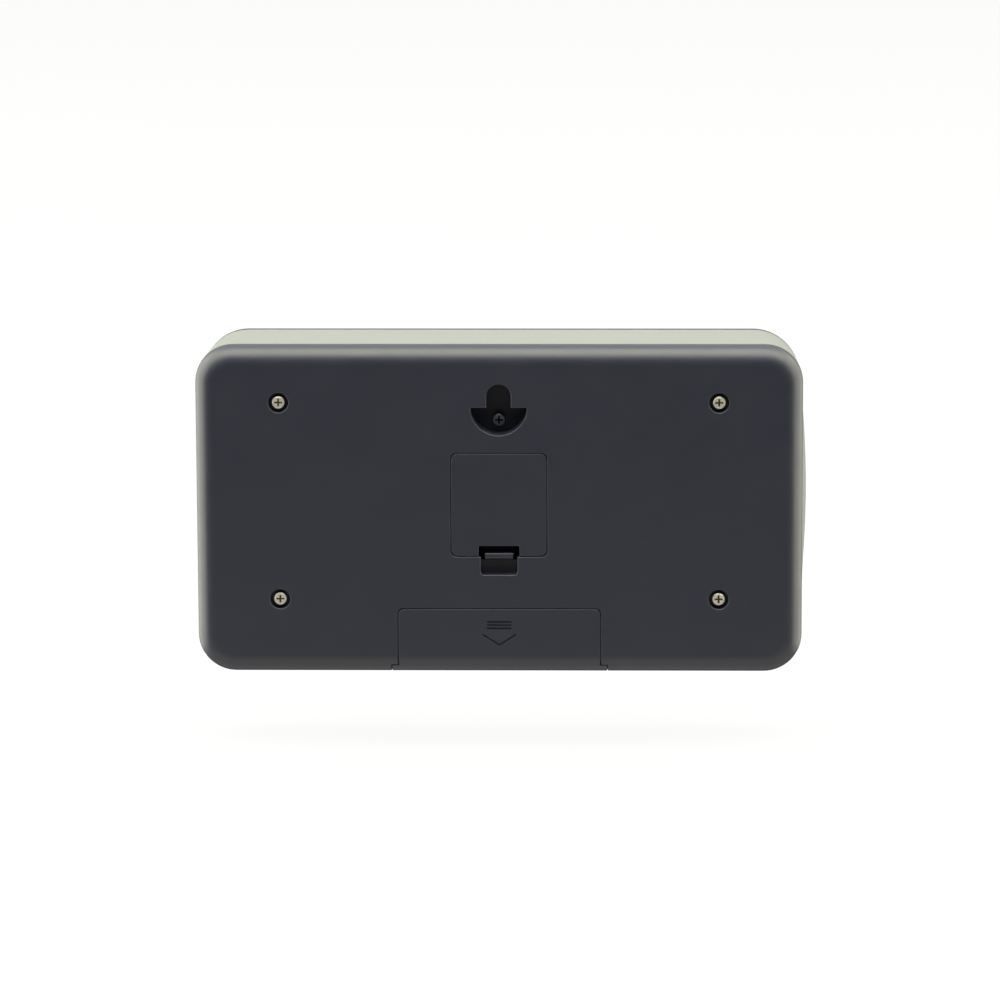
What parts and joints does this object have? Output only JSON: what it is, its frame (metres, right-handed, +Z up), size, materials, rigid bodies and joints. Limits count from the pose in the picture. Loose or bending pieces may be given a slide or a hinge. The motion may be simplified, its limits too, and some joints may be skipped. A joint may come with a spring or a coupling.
{
  "type": "punch time clock",
  "caption": "Slim battery-powered electronic punch time clock with a display, a number keypad, a hanging keyhole, a snap-in hatch and a sliding battery door.",
  "frame": {"origin": "centre of the bounding box's bottom, on the surface that the clock stands on", "axes": "+Z up; the keypad and display face -Y; the back with its keyhole faces +Y; +X is along the width"},
  "size_m": [0.1996, 0.0376, 0.1076],
  "materials": {
    "dark_case": "fine moulded texture, satin",
    "pale_case": "satin",
    "dark_front": "semi-gloss",
    "clear_window": "clear polished acrylic",
    "display_glass": "reflective grey-green glass",
    "holder_plastic": "as moulded",
    "silicone": "matte silicone",
    "connector_rubber": "layered rubber",
    "circuit_board": "solder mask",
    "chip_black": "moulded epoxy",
    "nickel": "nickel plated",
    "black_steel": "black zinc",
    "spring_steel": "nickel-plated spring strip",
    "cell_jacket": "printed-free shrink jacket",
    "cell_steel": "bright steel can",
    "wire_red": "insulated wire",
    "number_key": "satin",
    "in_key": "satin",
    "out_key": "satin",
    "plain_key": "satin",
    "light_pipe": "clear light pipe"
  },
  "bodies": {
    "case": {"rear_cover": "dark_case", "front_housing": "pale_case", "fascia": "dark_front", "display_window": "clear_window", "lcd_panel": "display_glass", "lcd_holder": "holder_plastic", "zebra_strips": "connector_rubber", "main_board": "circuit_board", "processor": "chip_black", "crystal": "spring_steel", "capacitor": "cell_steel", "buzzer": "chip_black", "led_lenses": "light_pipe", "key_mat": "silicone", "case_screws": "nickel", "pocket_screw": "black_steel", "board_screws": "nickel", "aa_cell": "cell_jacket", "aa_contact": "spring_steel", "aa_spring": "spring_steel", "battery_leads": "wire_red", "coin_cell": "cell_steel", "coin_contacts": "spring_steel"},
    "battery_door": {"battery_door": "dark_case"},
    "hatch": {"hatch": "dark_case"},
    "hatch_latch": {"hatch_latch": "dark_case"},
    "key_0": {"key_0": "number_key"},
    "key_1": {"key_1": "number_key"},
    "key_2": {"key_2": "number_key"},
    "key_3": {"key_3": "number_key"},
    "key_4": {"key_4": "number_key"},
    "key_5": {"key_5": "number_key"},
    "key_6": {"key_6": "number_key"},
    "key_7": {"key_7": "number_key"},
    "key_8": {"key_8": "number_key"},
    "key_9": {"key_9": "number_key"},
    "key_star": {"key_star": "number_key"},
    "key_hash": {"key_hash": "number_key"},
    "key_in": {"key_in": "in_key"},
    "key_out": {"key_out": "out_key"},
    "key_back": {"key_back": "plain_key"},
    "key_menu": {"key_menu": "plain_key"}
  },
  "joints": [
    {"name": "battery_door_slide", "type": "slide", "parent": "case", "child": "battery_door", "axis": [0, 0, -1], "range_m": [0, 0.024]},
    {"name": "hatch_hinge", "type": "hinge", "parent": "case", "child": "hatch", "pos_m": [0, 0.01875, 0.073], "axis": [1, 0, 0], "range_deg": [0, 60]},
    {"name": "hatch_latch_flex", "type": "hinge", "parent": "hatch", "child": "hatch_latch", "pos_m": [0, 0.01345, 0.0431], "axis": [1, 0, 0], "range_deg": [0, 12], "stiffness_Nm_per_rad": 0.02, "springref_deg": -1.72},
    {"name": "key_0_press", "type": "slide", "parent": "case", "child": "key_0", "axis": [0, 1, 0], "range_m": [0, 0.0012], "stiffness_N_per_m": 700, "springref_m": -0.0006},
    {"name": "key_1_press", "type": "slide", "parent": "case", "child": "key_1", "axis": [0, 1, 0], "range_m": [0, 0.0012], "stiffness_N_per_m": 700, "springref_m": -0.0006},
    {"name": "key_2_press", "type": "slide", "parent": "case", "child": "key_2", "axis": [0, 1, 0], "range_m": [0, 0.0012], "stiffness_N_per_m": 700, "springref_m": -0.0006},
    {"name": "key_3_press", "type": "slide", "parent": "case", "child": "key_3", "axis": [0, 1, 0], "range_m": [0, 0.0012], "stiffness_N_per_m": 700, "springref_m": -0.0006},
    {"name": "key_4_press", "type": "slide", "parent": "case", "child": "key_4", "axis": [0, 1, 0], "range_m": [0, 0.0012], "stiffness_N_per_m": 700, "springref_m": -0.0006},
    {"name": "key_5_press", "type": "slide", "parent": "case", "child": "key_5", "axis": [0, 1, 0], "range_m": [0, 0.0012], "stiffness_N_per_m": 700, "springref_m": -0.0006},
    {"name": "key_6_press", "type": "slide", "parent": "case", "child": "key_6", "axis": [0, 1, 0], "range_m": [0, 0.0012], "stiffness_N_per_m": 700, "springref_m": -0.0006},
    {"name": "key_7_press", "type": "slide", "parent": "case", "child": "key_7", "axis": [0, 1, 0], "range_m": [0, 0.0012], "stiffness_N_per_m": 700, "springref_m": -0.0006},
    {"name": "key_8_press", "type": "slide", "parent": "case", "child": "key_8", "axis": [0, 1, 0], "range_m": [0, 0.0012], "stiffness_N_per_m": 700, "springref_m": -0.0006},
    {"name": "key_9_press", "type": "slide", "parent": "case", "child": "key_9", "axis": [0, 1, 0], "range_m": [0, 0.0012], "stiffness_N_per_m": 700, "springref_m": -0.0006},
    {"name": "key_star_press", "type": "slide", "parent": "case", "child": "key_star", "axis": [0, 1, 0], "range_m": [0, 0.0012], "stiffness_N_per_m": 700, "springref_m": -0.0006},
    {"name": "key_hash_press", "type": "slide", "parent": "case", "child": "key_hash", "axis": [0, 1, 0], "range_m": [0, 0.0012], "stiffness_N_per_m": 700, "springref_m": -0.0006},
    {"name": "key_in_press", "type": "slide", "parent": "case", "child": "key_in", "axis": [0, 1, 0], "range_m": [0, 0.0012], "stiffness_N_per_m": 700, "springref_m": -0.0006},
    {"name": "key_out_press", "type": "slide", "parent": "case", "child": "key_out", "axis": [0, 1, 0], "range_m": [0, 0.0012], "stiffness_N_per_m": 700, "springref_m": -0.0006},
    {"name": "key_back_press", "type": "slide", "parent": "case", "child": "key_back", "axis": [0, 1, 0], "range_m": [0, 0.0012], "stiffness_N_per_m": 700, "springref_m": -0.0006},
    {"name": "key_menu_press", "type": "slide", "parent": "case", "child": "key_menu", "axis": [0, 1, 0], "range_m": [0, 0.0012], "stiffness_N_per_m": 700, "springref_m": -0.0006}
  ]
}
